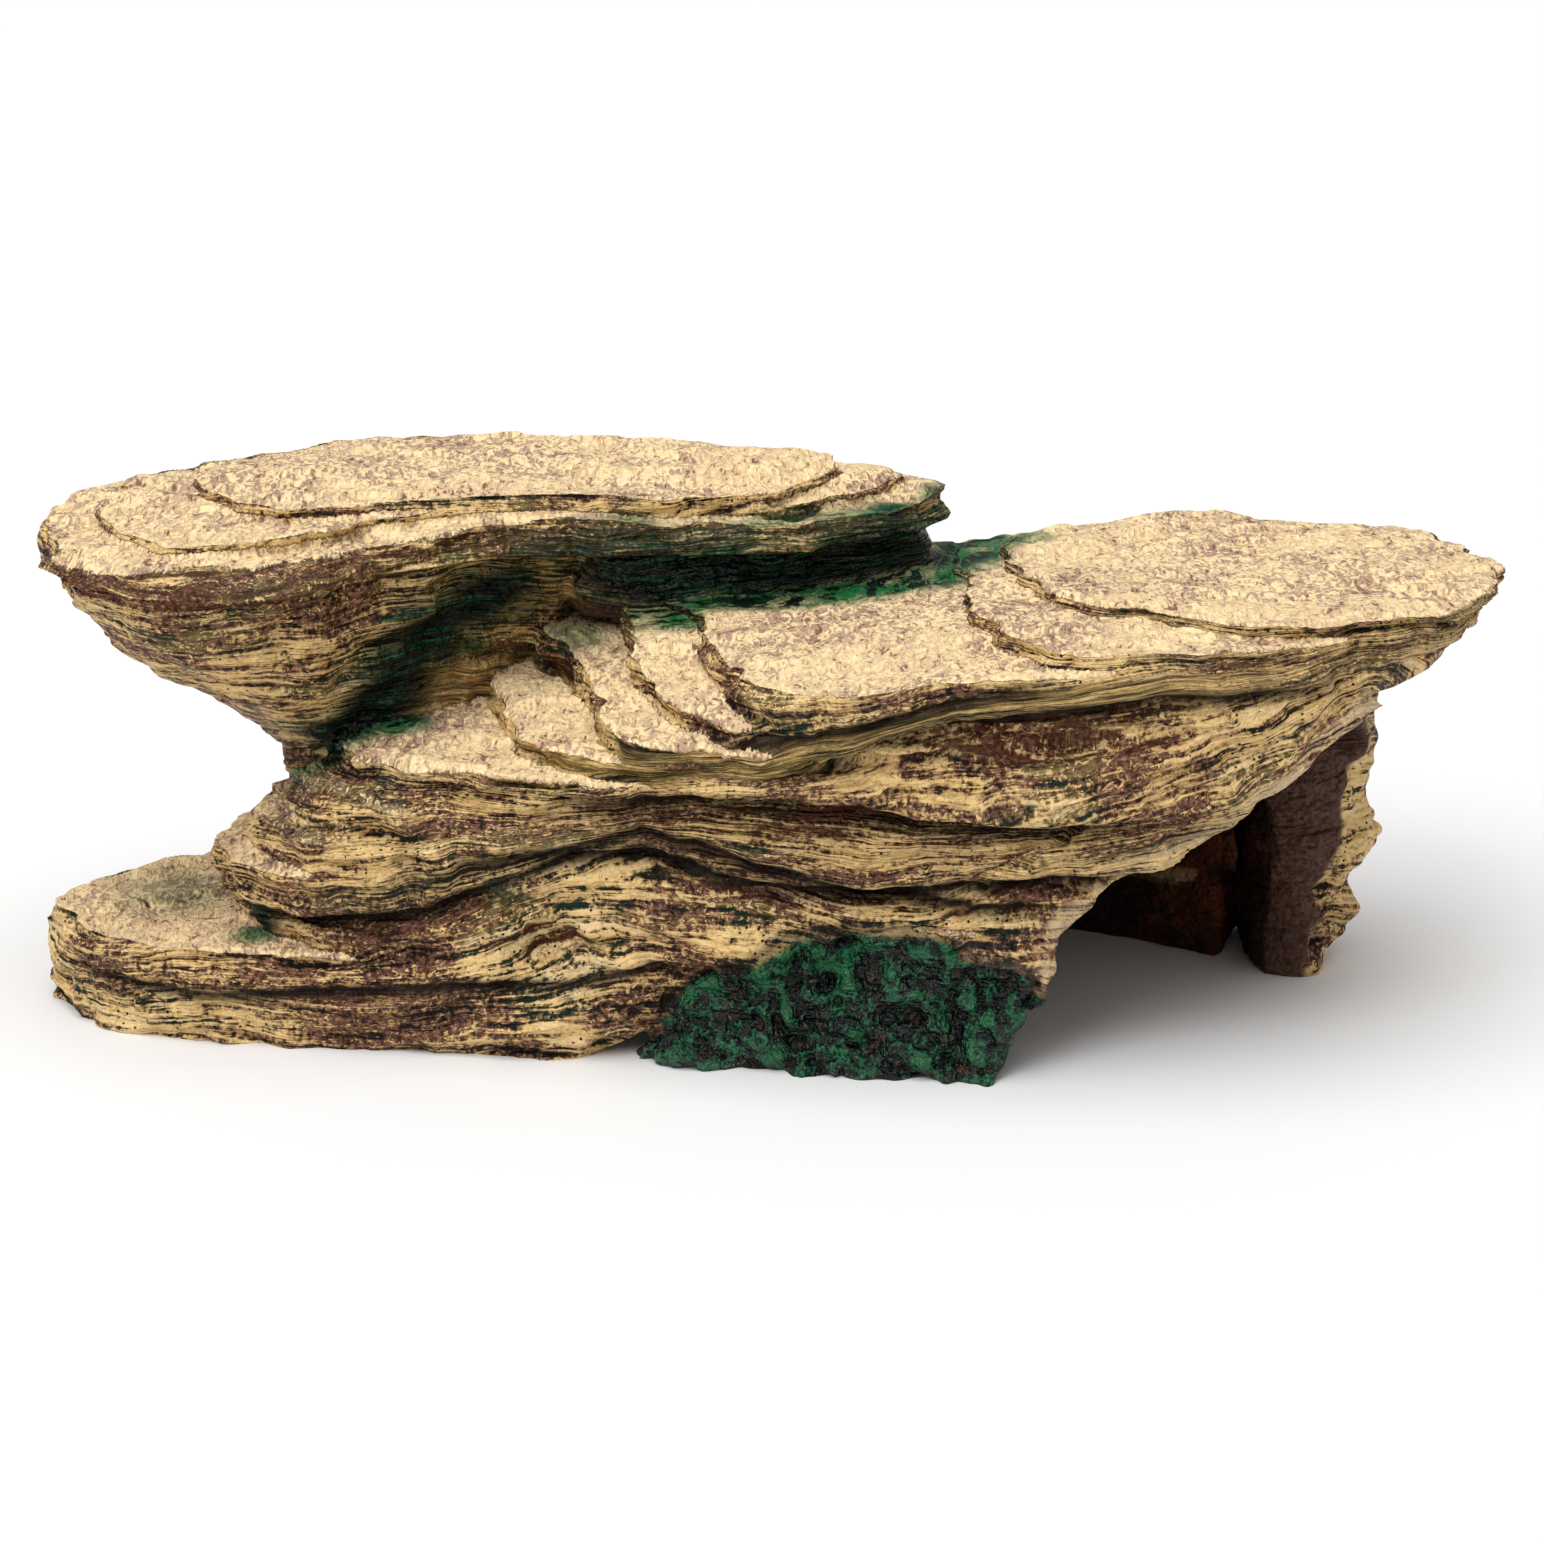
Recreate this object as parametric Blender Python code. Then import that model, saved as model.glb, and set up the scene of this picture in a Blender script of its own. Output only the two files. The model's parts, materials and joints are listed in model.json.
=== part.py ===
"""Resin cave ornament: a stack of flat rock castings bonded round one hollow chamber.

Run with: blender --background --python part.py

Frame: +X is the long side and points out of the cave's mouth end, -Y is the front,
+Z is up, and the origin is on the floor under the middle of the ornament.
Outlines and levels are in millimetres here, and MM turns them into metres.
Every outline runs anticlockwise seen from above, starting at its left end.
"""

import bmesh
import bpy
from mathutils import Vector

MM = 0.001
PLAN_MIDDLE = Vector((-2.0, 3.7, 0.0))  # middle of the plan, which stands on the origin

# Driving dimensions, in millimetres.
GAP = 0.3           # bond line between two castings
LOOP_POINTS = 36    # points on each outline
FOOT_TOP = 22.0     # bonding plane between the base course and the lobed wall
RIM_JOINT = 101.0   # bonding plane under the upper rim slab
CHAMBER_TOP = 1.2   # how far the chamber is let into the roof slab's underside
NECK_BOTTOM = 46.0
NECK_TOP = 70.0

# Paint colours of the castings, linear RGB.
OCHRE = (0.50, 0.33, 0.14)
PLUM = (0.17, 0.09, 0.075)
MOSS = (0.012, 0.075, 0.035)


# Surfaces that two castings share, as heights over the floor.

def low_joint(x, y):
    """Between the lobed wall and the mid course."""
    return 60.0 - 0.05 * x


def roof_joint(x, y):
    """Between the mid course and the roof slab."""
    return 73.5 + 0.088 * x + 0.07 * y


def smooth_step(t):
    t = min(1.0, max(0.0, t))
    return t * t * (3.0 - 2.0 * t)


def tier_rise(x):
    """How far the right-hand tier rises towards its right tip."""
    return 0.03 * max(0.0, x - 50.0)


def roof_top(x, y):
    """A ramp on the left that climbs to the right-hand tier."""
    ramp = 88.8 + 0.075 * y + 0.05 * min(0.0, x)
    tier = 90.0 + 0.015 * y + tier_rise(x)
    t = smooth_step(x / 50.0)
    return ramp + (tier - ramp) * t


def lower_tread(x, y):
    """Top of the lower terrace step."""
    return 78.0 + 0.11 * y


def upper_tread(x, y):
    """Top of the upper terrace step."""
    return 84.5 + 0.155 * y


def rim_top(x, y):
    """Top of the upper rim slab, which falls towards both its tips."""
    return 109.3 + 0.055 * y - 0.048 * max(0.0, x + 50.0) + 0.02 * min(0.0, x + 90.0)


def level(height):
    return lambda x, y: height


def tier_level(height):
    return lambda x, y: height + tier_rise(x)


def above(surface, rise):
    return lambda x, y: surface(x, y) + rise


def between(bottom, top, share):
    """The surface that lies this share of the way up from one surface to another."""
    return lambda x, y: bottom(x, y) + (top(x, y) - bottom(x, y)) * share


# Outlines.

def loop(points, count=LOOP_POINTS):
    """A smooth closed loop through the points, at even spacing."""
    fine = []
    n = len(points)
    steps = 12
    for i in range(n):
        p0, p1, p2, p3 = (Vector(points[(i + k - 1) % n]) for k in range(4))
        for s in range(steps):
            t = s / steps
            fine.append(
                0.5 * (2 * p1 + (p2 - p0) * t + (2 * p0 - 5 * p1 + 4 * p2 - p3) * t * t
                       + (3 * p1 - p0 - 3 * p2 + p3) * t ** 3)
            )
    lengths = [(fine[(i + 1) % len(fine)] - fine[i]).length for i in range(len(fine))]
    spacing = sum(lengths) / count
    made, run, i = [], 0.0, 0
    for k in range(count):
        while run + lengths[i] < k * spacing:
            run += lengths[i]
            i += 1
        share = (k * spacing - run) / lengths[i]
        made.append(fine[i].lerp(fine[(i + 1) % len(fine)], share))
    return made


def grow(outline, by):
    """The outline moved outwards by a distance, point by point."""
    made = []
    for i, p in enumerate(outline):
        along = outline[(i + 1) % len(outline)] - outline[i - 1]
        made.append(p + Vector((along.y, -along.x)).normalized() * by)
    return made


def blend(a, b, share):
    return [p.lerp(q, share) for p, q in zip(a, b)]


def ring(outline, surface, by=0.0):
    """Points in space: the outline, grown, laid on a surface."""
    return [Vector((p.x, p.y, surface(p.x, p.y))) for p in grow(outline, by)]


def crown(outline, surface, by=0.0, shares=(0.7, 0.35, 0.04)):
    """Rings that shrink towards the middle of an outline and follow a curved top."""
    edge = grow(outline, by)
    middle = sum(edge, Vector((0.0, 0.0))) / len(edge)
    rings = [[middle.lerp(p, share) for p in edge] for share in shares]
    return [[Vector((p.x, p.y, surface(p.x, p.y))) for p in made] for made in rings]


# Solids.

def clear_scene():
    for obj in list(bpy.data.objects):
        bpy.data.objects.remove(obj, do_unlink=True)


def paint(name, colour, roughness):
    material = bpy.data.materials.get(name) or bpy.data.materials.new(name)
    material.use_nodes = True
    shader = material.node_tree.nodes["Principled BSDF"]
    shader.inputs["Base Color"].default_value = (*colour, 1.0)
    shader.inputs["Roughness"].default_value = roughness
    shader.inputs["Metallic"].default_value = 0.0
    return material


def loft(name, rings, material=None):
    """A closed solid through rings of equal point counts, from the bottom to the top."""
    bm = bmesh.new()
    rows = [[bm.verts.new((p - PLAN_MIDDLE) * MM) for p in made] for made in rings]
    count = len(rows[0])
    for low, high in zip(rows, rows[1:]):
        for i in range(count):
            j = (i + 1) % count
            bm.faces.new((low[i], low[j], high[j], high[i]))
    bm.faces.new(reversed(rows[0]))
    bm.faces.new(rows[-1])
    bm.normal_update()
    bmesh.ops.triangulate(bm, faces=bm.faces, quad_method="FIXED")
    mesh = bpy.data.meshes.new(name)
    bm.to_mesh(mesh)
    bm.free()
    obj = bpy.data.objects.new(name, mesh)
    bpy.context.scene.collection.objects.link(obj)
    if material:
        mesh.materials.append(material)
    return obj


def cutter(name, rings):
    obj = loft(name, rings)
    obj.hide_render = True
    obj.display_type = "WIRE"
    return obj


def cut(obj, *tools):
    for tool in tools:
        modifier = obj.modifiers.new("cut by " + tool.name, "BOOLEAN")
        modifier.operation = "DIFFERENCE"
        modifier.solver = "EXACT"
        modifier.object = tool


def slab(outline, bottom, top, inset=2.0, crowned=False):
    """Rings of a flat rock slab: its edge is widest half way up, and both arrises are eased."""
    stops = ((0.0, -inset), (0.3, 0.0), (0.7, 0.0), (1.0, -inset))
    rings = [ring(outline, between(bottom, top, share), by) for share, by in stops]
    return rings + crown(outline, top, -inset) if crowned else rings


# The ornament's outlines, in millimetres.

def lobed_outline(left, right):
    """Plan of the lobed wall where its left lobe and its mouth edge reach these X values."""
    return loop([
        (left, -8), (left + 8, -27), (left + 28, -40), (-45, -48), (0, -55), (right - 24, -59),
        (right, -57), (right + 2, -48), (106, 0), (109, 16), (109, 38), (112, 49), (118, 57),
        (108, 62), (86, 62), (40, 62), (-20, 62),
        (-62, 56), (left + 20, 38), (left + 4, 14),
    ])


def mid_outline(right):
    """Plan of the mid course; its left edge is a terrace step."""
    return loop([
        (-84, 38), (-72, 26), (-63, 8), (-59, -10), (-55, -26), (-44, -42), (-20, -53),
        (30, -60), (90, -61), (right - 12, -52), (right, -36), (right - 4, 8), (118, 50),
        (100, 62), (30, 65), (-30, 64), (-72, 56),
    ])


def foot_outline(right):
    """Plan of the foot, whose front tongue reaches this X value."""
    return loop([
        (-166, 0), (-159, -18), (-143, -31), (-118, -38), (-88, -43), (-58, -48),
        (right - 6, -51), (right, -46), (right - 6, -40), (-42, -36), (-62, -24), (-71, 0),
        (-74, 24), (-86, 48), (-114, 49), (-141, 35), (-159, 18),
    ])


def moss_outline(left, right):
    """Plan of the moss-covered rock between these X values."""
    return loop([
        (left, -46), (left + 8, -52), (0.5 * (left + right), -58), (right - 8, -62),
        (right, -57), (right - 3, -48), (0.5 * (left + right), -45), (left + 8, -42),
    ])


ROOF = loop([
    (-15, -12), (-11, -34), (-6, -50), (8, -60), (32, -63), (64, -63), (98, -62), (126, -53),
    (144, -32), (152, -2), (147, 32), (128, 57), (96, 66), (50, 67), (0, 67), (-48, 65),
    (-68, 56), (-62, 44), (-40, 30), (-22, 10),
])
LOWER_STEP = loop([
    (-58, 30), (-46, 10), (-41, -10), (-38, -28), (-34, -46), (-14, -54), (10, -50), (10, 40),
    (-20, 58), (-50, 56),
])
UPPER_STEP = loop([
    (-36, 26), (-32, 8), (-31, -12), (-25, -32), (-14, -49), (8, -50), (10, 0), (-8, 26),
    (-30, 32),
])
BASKING_LOWER = loop([
    (45, 24), (45, -10), (52, -38), (66, -58), (98, -60), (130, -50), (150, -30), (158, -1),
    (153, 33), (131, 57), (95, 66), (54, 64), (43, 48),
])
BASKING = loop([
    (54, 32), (60, 2), (70, -22), (82, -31), (101, -46), (121, -52), (144, -40), (158, -20),
    (163, 2), (156, 36), (134, 59), (98, 68), (64, 58),
])
NECK_FOOT = loop([
    (-113, 22), (-108, 9), (-94, 5), (-78, 12), (-68, 30), (-72, 48), (-88, 54), (-102, 44),
])
NECK_HEAD = loop([
    (-131, 20), (-123, -2), (-106, -12), (-86, -4), (-66, 20), (-52, 44), (-68, 60), (-104, 60),
    (-124, 44),
])
CONE_HEAD = loop([
    (-160, 2), (-148, -28), (-131, -38), (-110, -37), (-94, -22), (-80, -6), (-64, 11),
    (-48, 20), (-38, 42), (-54, 62), (-104, 66), (-146, 54), (-158, 28),
])
CREVICE_ROCK = loop([
    (-47, 38), (-44, 22), (-30, 16), (-10, 18), (14, 25), (32, 38), (38, 50), (24, 61),
    (-14, 65), (-44, 63),
])
RIM = loop([
    (-163, 0), (-151, -29), (-133, -42), (-111, -42), (-95, -27), (-83, -12), (-73, -3),
    (-60, 2), (-43, 5), (-16, 7), (8, 12), (30, 27), (43, 48), (32, 61), (0, 68),
    (-58, 70), (-114, 69), (-150, 52), (-162, 26),
])
RIM_CREST = loop([
    (-162, 3), (-149, -18), (-131, -29), (-111, -27), (-96, -19), (-84, -8), (-74, 0),
    (-60, 5), (-43, 8), (-16, 10), (7, 15), (28, 29), (41, 48), (31, 59), (0, 66),
    (-58, 68), (-114, 67), (-148, 51), (-161, 26),
])
MIDDLE_CAP = loop([
    (-151, 9), (-144, -12), (-131, -23), (-117, -20), (-99, -12), (-87, 1), (-70, 7),
    (-48, 10), (-12, 15), (16, 30), (31, 53), (22, 62), (-20, 65), (-80, 67), (-128, 60),
    (-148, 36),
])
TOP_CAP = loop([
    (-132, 26), (-125, 10), (-107, -1), (-80, 7), (-56, 9), (-15, 14), (6, 29), (15, 52),
    (0, 62), (-50, 66), (-95, 65), (-124, 50),
])
PILLAR_FOOT = loop([
    (112, 28), (114, 14), (119, 9), (125, 12), (128, 26), (127, 42), (120, 49), (113, 44),
])
PILLAR_KNOB = loop([
    (112, 28), (114, 14), (122, 8), (136, 12), (143, 26), (138, 42), (125, 50), (113, 45),
])
PILLAR_HEAD = loop([
    (113, 28), (115, 15), (124, 9), (135, 13), (139, 28), (136, 43), (128, 51), (116, 46),
])
BACK_BASE = loop([
    (-78, 48), (-66, 43), (-20, 49), (40, 51), (66, 46), (90, 33), (104, 23), (109, 25),
    (111, 42), (116, 56), (106, 62), (70, 63), (20, 65), (-30, 64), (-70, 60),
])


def chamber_outline(left, mouth):
    """Plan of the hollow: the room inside the walls, and the way out past the mouth edge."""
    return loop([
        (left, 4), (left + 6, -28), (left + 24, -40), (0, -46), (mouth - 22, -52),
        (mouth - 6, -56), (mouth + 4, -74), (170, -90), (230, -60), (230, -10), (200, 10),
        (122, 8), (104, 22), (84, 37), (58, 48), (0, 52), (left + 20, 44), (left + 4, 28),
    ], 48)


def chamber_rings():
    """The hollow's mouth edge leans out as it rises, and its closed end draws in."""
    stops = (
        (-8, -50, 52), (8, -50, 56), (20, -50, 61.5), (34, -49, 68.5), (42, -47, 76),
        (50, -45, 90), (57, -43, 102), (61, -41, 109),
    )
    rings = [ring(chamber_outline(left, mouth), level(z)) for z, left, mouth in stops]
    rings.append(ring(chamber_outline(-34, 142), above(roof_joint, CHAMBER_TOP)))
    return rings


# The castings, from the floor up.

def lobed_wall_rings():
    """The left lobe steps back as it rises while the mouth edge leans out."""
    ends = (
        (0.0, -117, 66), (0.08, -124, 68), (0.36, -127, 76), (0.41, -120, 80), (0.54, -117, 88),
        (0.6, -110, 92), (0.74, -107, 104), (0.8, -100, 108), (0.92, -97, 112), (1.0, -90, 114),
    )
    bottom = level(FOOT_TOP + GAP)
    return [
        ring(lobed_outline(left, right), between(bottom, low_joint, share))
        for share, left, right in ends
    ]


def mid_course_rings():
    """The mouth edge of the mid course leans out to carry the right-hand tier."""
    ends = ((0.0, 112, -2.0), (0.15, 118, 0), (0.45, 132, 0), (0.75, 144, 0), (1.0, 148, -2.0))
    bottom = above(low_joint, GAP)
    return [
        ring(mid_outline(right), between(bottom, roof_joint, share), by)
        for share, right, by in ends
    ]


def moss_rings(by=0.0, rise=0.0):
    ends = ((0, -32, 51), (8, -27, 55), (18, -18, 59), (26, -8, 58), (33 + rise, 4, 46))
    lows = [ring(moss_outline(left, right), level(z), by) for z, left, right in ends]
    if by:
        lows.insert(0, [p - Vector((0, 0, 5)) for p in lows[0]])
    return lows


def foot_rings():
    ends = ((0, -36, -1), (4, -32, 0), (12, -24, 1), (18, -15, 0), (FOOT_TOP, -10, -2))
    return [ring(foot_outline(right), level(z), by) for z, right, by in ends]


def pillar_rings():
    lower = ((0, 0.0), (6, 0.28), (13, 0.48), (20, 0.48), (28, 0.8), (33, 1.0))
    upper = ((39, 0.85), (46, 1.0), (54, 0.9))
    rings = [ring(blend(PILLAR_FOOT, PILLAR_KNOB, t), level(z)) for z, t in lower]
    rings += [ring(blend(PILLAR_KNOB, PILLAR_HEAD, t), level(z)) for z, t in upper]
    rings.append(ring(PILLAR_HEAD, above(roof_joint, -GAP)))
    return rings


def neck_rings():
    stops = ((NECK_BOTTOM, 0.0), (54, 0.08), (62, 0.5))
    rings = [ring(blend(NECK_FOOT, NECK_HEAD, t), level(z)) for z, t in stops]
    rings.append(ring(NECK_HEAD, level(NECK_TOP)))
    return rings


def cone_rings():
    stops = ((NECK_TOP + GAP, 0.03), (76, 0.38), (84, 0.68), (93, 0.92), (RIM_JOINT - GAP, 1.0))
    return [ring(blend(NECK_HEAD, CONE_HEAD, t), level(z)) for z, t in stops]


def grown_copy(name, rings, under=2):
    """A casting grown by the bond line, as a cutter. Its first rings belong to the underside."""
    made = []
    for k, points in enumerate(rings):
        flat = [p.to_2d() for p in points]
        shift = -GAP if k < under else GAP
        made.append([
            Vector((q.x, q.y, p.z + shift)) for p, q in zip(points, grow(flat, GAP))
        ])
    return cutter(name, made)


def build():
    clear_scene()
    ochre = paint("ochre_paint", OCHRE, 0.55)
    plum = paint("plum_paint", PLUM, 0.5)
    moss = paint("moss_paint", MOSS, 0.35)

    chamber = cutter("chamber_cutter", chamber_rings())
    niche = cutter("niche_cutter", moss_rings(0.5, 0.5))

    loft("base_foot", foot_rings(), ochre)
    cut(bpy.data.objects["base_foot"], niche)

    moss_rock = loft("moss_rock", moss_rings(), moss)
    cut(moss_rock, chamber)

    back_rings = slab(BACK_BASE, level(0), level(FOOT_TOP), 1.5)
    loft("back_base", back_rings, ochre)

    wall = loft("lobed_wall", lobed_wall_rings(), ochre)
    cut(wall, chamber, niche)

    loft("rear_pillar", pillar_rings(), plum)

    mid_rings = mid_course_rings()
    mid = loft("mid_course", mid_rings, ochre)
    pillar_cutter = grown_copy("pillar_cutter", pillar_rings())
    cut(mid, chamber, pillar_cutter)
    cut(wall, pillar_cutter)

    roof_rings = slab(ROOF, above(roof_joint, GAP), roof_top, 2.0, True)
    roof = loft("roof_slab", roof_rings, ochre)
    cut(roof, chamber)
    roof_cutter = grown_copy("roof_cutter", roof_rings)

    lower_rings = slab(LOWER_STEP, above(roof_joint, GAP), lower_tread, 1.5)
    lower = loft("lower_terrace_step", lower_rings, ochre)
    cut(lower, roof_cutter, chamber)
    upper_rings = slab(UPPER_STEP, above(lower_tread, GAP), upper_tread, 1.5)
    upper = loft("upper_terrace_step", upper_rings, ochre)
    cut(upper, roof_cutter)

    lower_basking = slab(BASKING_LOWER, above(roof_top, -2.0), tier_level(93.0), 1.2)
    basking_lower = loft("basking_lower_slab", lower_basking, ochre)
    cut(basking_lower, roof_cutter)
    basking_rings = slab(BASKING, tier_level(93.0 + GAP), tier_level(96.0), 1.2)
    loft("basking_slab", basking_rings, ochre)

    lobed_cutter = grown_copy("lobed_cutter", lobed_wall_rings())
    mid_cutter = grown_copy("mid_cutter", mid_rings)
    lower_cutter = grown_copy("lower_step_cutter", lower_rings)
    upper_cutter = grown_copy("upper_step_cutter", upper_rings)

    neck = loft("neck_rock", neck_rings(), moss)
    cut(neck, lobed_cutter, mid_cutter)
    cone = loft("upper_ledge", cone_rings(), ochre)
    cut(cone, mid_cutter, lower_cutter, upper_cutter, roof_cutter)

    crevice_rings = [
        ring(CREVICE_ROCK, level(84.0)),
        ring(CREVICE_ROCK, level(94.0), 1.5),
        ring(CREVICE_ROCK, level(RIM_JOINT - GAP)),
    ]
    crevice = loft("crevice_rock", crevice_rings, moss)
    cone_cutter = grown_copy("cone_cutter", cone_rings(), len(cone_rings()) - 1)
    cut(crevice, cone_cutter, upper_cutter, roof_cutter, lower_cutter)

    rim_rings = [
        ring(RIM, level(RIM_JOINT)), ring(RIM, above(rim_top, -4.6), 0.4),
        ring(RIM_CREST, above(rim_top, -0.8), 1.0), ring(RIM_CREST, rim_top),
    ]
    loft("upper_rim_slab", rim_rings, ochre)
    rim_cutter = grown_copy("rim_cutter", rim_rings)
    middle_top = above(rim_top, 2.2)
    middle_rings = slab(MIDDLE_CAP, above(rim_top, -1.5), middle_top, 1.0, True)
    middle = loft("middle_cap_slab", middle_rings, ochre)
    cut(middle, rim_cutter)
    middle_cutter = grown_copy("middle_cutter", middle_rings)
    top_rings = slab(TOP_CAP, above(middle_top, -1.0), above(middle_top, 2.6), 1.0, True)
    top = loft("top_cap_slab", top_rings, ochre)
    cut(top, middle_cutter)


build()
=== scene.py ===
"""Resin cave ornament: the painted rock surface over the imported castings.

The castings are joined into one field, carved along their bedding, turned into a fine mesh, and
shared out again, so each casting gets its own piece of rock and the paint runs on over the joints.
Lengths are in millimetres until the mesh is made.
"""

import json
import math

import bpy
import numpy as np
import openvdb as vdb
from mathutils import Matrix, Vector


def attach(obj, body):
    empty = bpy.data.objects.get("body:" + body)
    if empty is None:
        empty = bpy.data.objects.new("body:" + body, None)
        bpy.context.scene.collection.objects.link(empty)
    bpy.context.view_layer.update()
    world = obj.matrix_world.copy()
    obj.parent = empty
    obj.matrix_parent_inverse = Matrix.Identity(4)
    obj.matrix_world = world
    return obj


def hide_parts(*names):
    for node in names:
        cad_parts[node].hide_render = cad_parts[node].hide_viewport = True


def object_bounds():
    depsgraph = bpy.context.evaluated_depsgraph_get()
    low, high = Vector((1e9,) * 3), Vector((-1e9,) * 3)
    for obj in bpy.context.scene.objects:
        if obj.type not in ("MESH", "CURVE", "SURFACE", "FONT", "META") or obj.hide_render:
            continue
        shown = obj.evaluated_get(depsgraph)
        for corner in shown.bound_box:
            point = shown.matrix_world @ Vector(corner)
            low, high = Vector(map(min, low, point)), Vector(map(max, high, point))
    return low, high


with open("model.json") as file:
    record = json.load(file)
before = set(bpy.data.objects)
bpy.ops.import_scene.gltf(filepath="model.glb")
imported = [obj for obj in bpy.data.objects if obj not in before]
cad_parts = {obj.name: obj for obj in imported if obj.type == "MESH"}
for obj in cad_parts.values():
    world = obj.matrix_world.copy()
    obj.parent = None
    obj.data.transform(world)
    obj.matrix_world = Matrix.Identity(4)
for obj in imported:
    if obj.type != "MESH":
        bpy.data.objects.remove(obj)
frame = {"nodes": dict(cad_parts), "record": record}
cad_low, cad_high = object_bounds()

M = 1000.0                              # millimetres in a metre
VOXEL = 0.75     # spacing of the field and of the mesh
BAND = 6                                # voxels of field kept on each side of the surface
MARGIN = 9.0                            # free space round the castings
BOND = 0.3                              # grows every casting to close the bond lines

# Bedding lines on the front, as (x, height) along the wall, from the foot's crease up.
FOOT_CREASE = (
    (-165, 24), (-119, 29), (-101, 28), (-72, 32), (-57, 39), (-43, 46), (-26, 47), (-11, 44),
    (8, 41), (23, 41.5), (35, 43), (51, 44), (74, 44), (90, 47), (130, 55), (165, 60),
)
WALL_CREASE = (
    (-165, 50), (-100, 55), (-72, 58), (-34, 58), (-21, 59), (-3, 61), (8, 61), (20, 60),
    (32, 58), (50, 57), (60, 55.5), (78, 57), (103, 62), (135, 71), (165, 76),
)
# The ribbon of fine striations that sweeps up from the left along the roof slab's lower edge.
RIBBON_BOTTOM = (
    (-165, 63), (-71, 62), (-26, 62), (-7, 65.5), (14, 69), (27, 75), (42, 79), (61, 82),
    (88, 84), (115, 86), (142, 89), (165, 90),
)
RIBBON_TOP = (
    (-165, 75), (-71, 75), (-26, 71), (-7, 72.5), (11, 75), (23, 79), (35, 83), (50, 86),
    (88, 89), (115, 91), (142, 94), (165, 95),
)
# Two shorter grooves: over the ridge in the middle of the wall, and low along the foot.
RIDGE_CREASE = (
    (-165, 36), (-76, 38), (-52, 46), (-28, 52), (0, 47), (20, 42), (50, 38), (165, 36),
)
LOW_CREASE = ((-165, 13), (-120, 12), (-80, 16), (-50, 18), (-20, 22), (40, 26), (165, 30))
# The lip round the cave's mouth: its edge's place, and how much the face behind it slopes.
MOUTH_LIP = (
    ((57.5, -61, 16), 0.03), ((60.8, -61, 27.3), 0.03), ((65, -61, 35), 0.03), ((70.3, -61, 41), 0.03),
    ((75, -61.2, 46), 0.03), ((80, -61.2, 48.4), 0.03), ((90, -61, 52.6), 0.05),
    ((100.3, -60.6, 59.3), 0.08), ((107, -60, 64.5), 0.10), ((113.6, -59, 69), 0.14),
    ((118, -58, 73), 0.17), ((127, -55.3, 78.7), 0.22), ((130, -54, 80.2), 0.24),
)
LIP_RADIUS = 1.6                        # of the rounded edge, and half the lip's thickness
LIP_REACH = 24.0                        # how far the lip runs back from its edge
WALL_SEAM = (60.0, -0.05)               # height at x = 0 and slope where wall and layer above it meet
# A round post closes the back wall behind the pillar.
POST_PLACE = (114.5, 51.0)
POST_RADIUS = 3.6
POST_BOTTOM, POST_TOP = 18.0, 82.0
# The moss-covered patch ends along this line on the front, as (x, height), and on the front only.
MOSS_LINE = (
    (-34, -3), (-28, 2), (-22, 10), (-14, 17), (3, 28), (22, 33), (37, 32.5), (50, 26), (58, 19),
    (64, 12), (70, 0),
)
MOSS_BACK = (-44, -38)                  # moss thins out between these depths
# Grooves along the bedding: line, depth, from x, to x, width above, width below, swell over it.
CREASES = (
    (FOOT_CREASE, 4.2, -118, 84, 0.9, 3.4, 1.4),
    (WALL_CREASE, 4.8, -40, 74, 0.9, 4.8, 1.8),
    (RIBBON_BOTTOM, 3.8, 6, 118, 0.9, 4.6, 1.6),
    (RIBBON_TOP, 1.8, -60, 60, 0.9, 2.2, 0.0),
    (RIDGE_CREASE, 2.6, -70, 60, 1.2, 2.8, 1.6),
    (LOW_CREASE, 1.6, -150, 0, 0.9, 2.0, 0.4),
)
# Cracks in the flat tops.
CRACKS = (
    ((20, 30, 108), (8, 18, 108), (-12, 14, 108), (-30, 12, 108)),
    ((-146, 2, 22), (-136, -10, 22), (-124, -14, 22)),
)
# Patches of plain plum, without the dry brushing: middle and half sizes.
CALM = (
    ((62, -60, 50), (30, 14, 5.0)), ((-52, -54, 50), (24, 14, 3.5)), ((100, -58, 68), (22, 12, 3.5)),
    ((-120, -10, 92), (24, 40, 6)), ((14, -62, 68), (14, 10, 2.5)), ((52, -64, 77), (14, 10, 2.0)),
    ((-92, -40, 46), (16, 14, 3)), ((4, -60, 72), (14, 10, 2)), ((70, -62, 70), (16, 12, 2.5)),
)
# Broad swells and hollows of the front: middle, half sizes, height. The paint follows them too: painted
# shade in the hollows, and more ochre on the swells, partly as painted light.
SWELLS = (
    ((-12, -60, 42), (26, 14, 6), 2.4), ((-45, -55, 42), (26, 14, 6), 1.6),
    ((34, -60, 33), (22, 14, 6), 1.2), ((4, -62, 56), (34, 14, 5.5), -2.2),
    ((62, -64, 50), (34, 16, 6), 1.8), ((48, -62, 64), (40, 16, 6), 1.8),
    ((58, -62, 75), (44, 16, 5.5), -2.8), ((110, -60, 78), (26, 14, 5), 0.8),
    ((30, -60, 36), (30, 14, 5), 1.0), ((-60, -48, 34), (26, 14, 4), -1.4),
    ((-48, -55, 26), (20, 14, 7), -3.0), ((-57, -54, 28), (6, 9, 4), 3.6),
    ((-46, -56, 25), (6, 9, 4), 3.8), ((-37, -57, 28), (5, 9, 4), 3.4),
    ((-120, -42, 14), (26, 14, 7), 1.0), ((-30, -56, 20), (30, 14, 7), 1.2),
)
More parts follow.
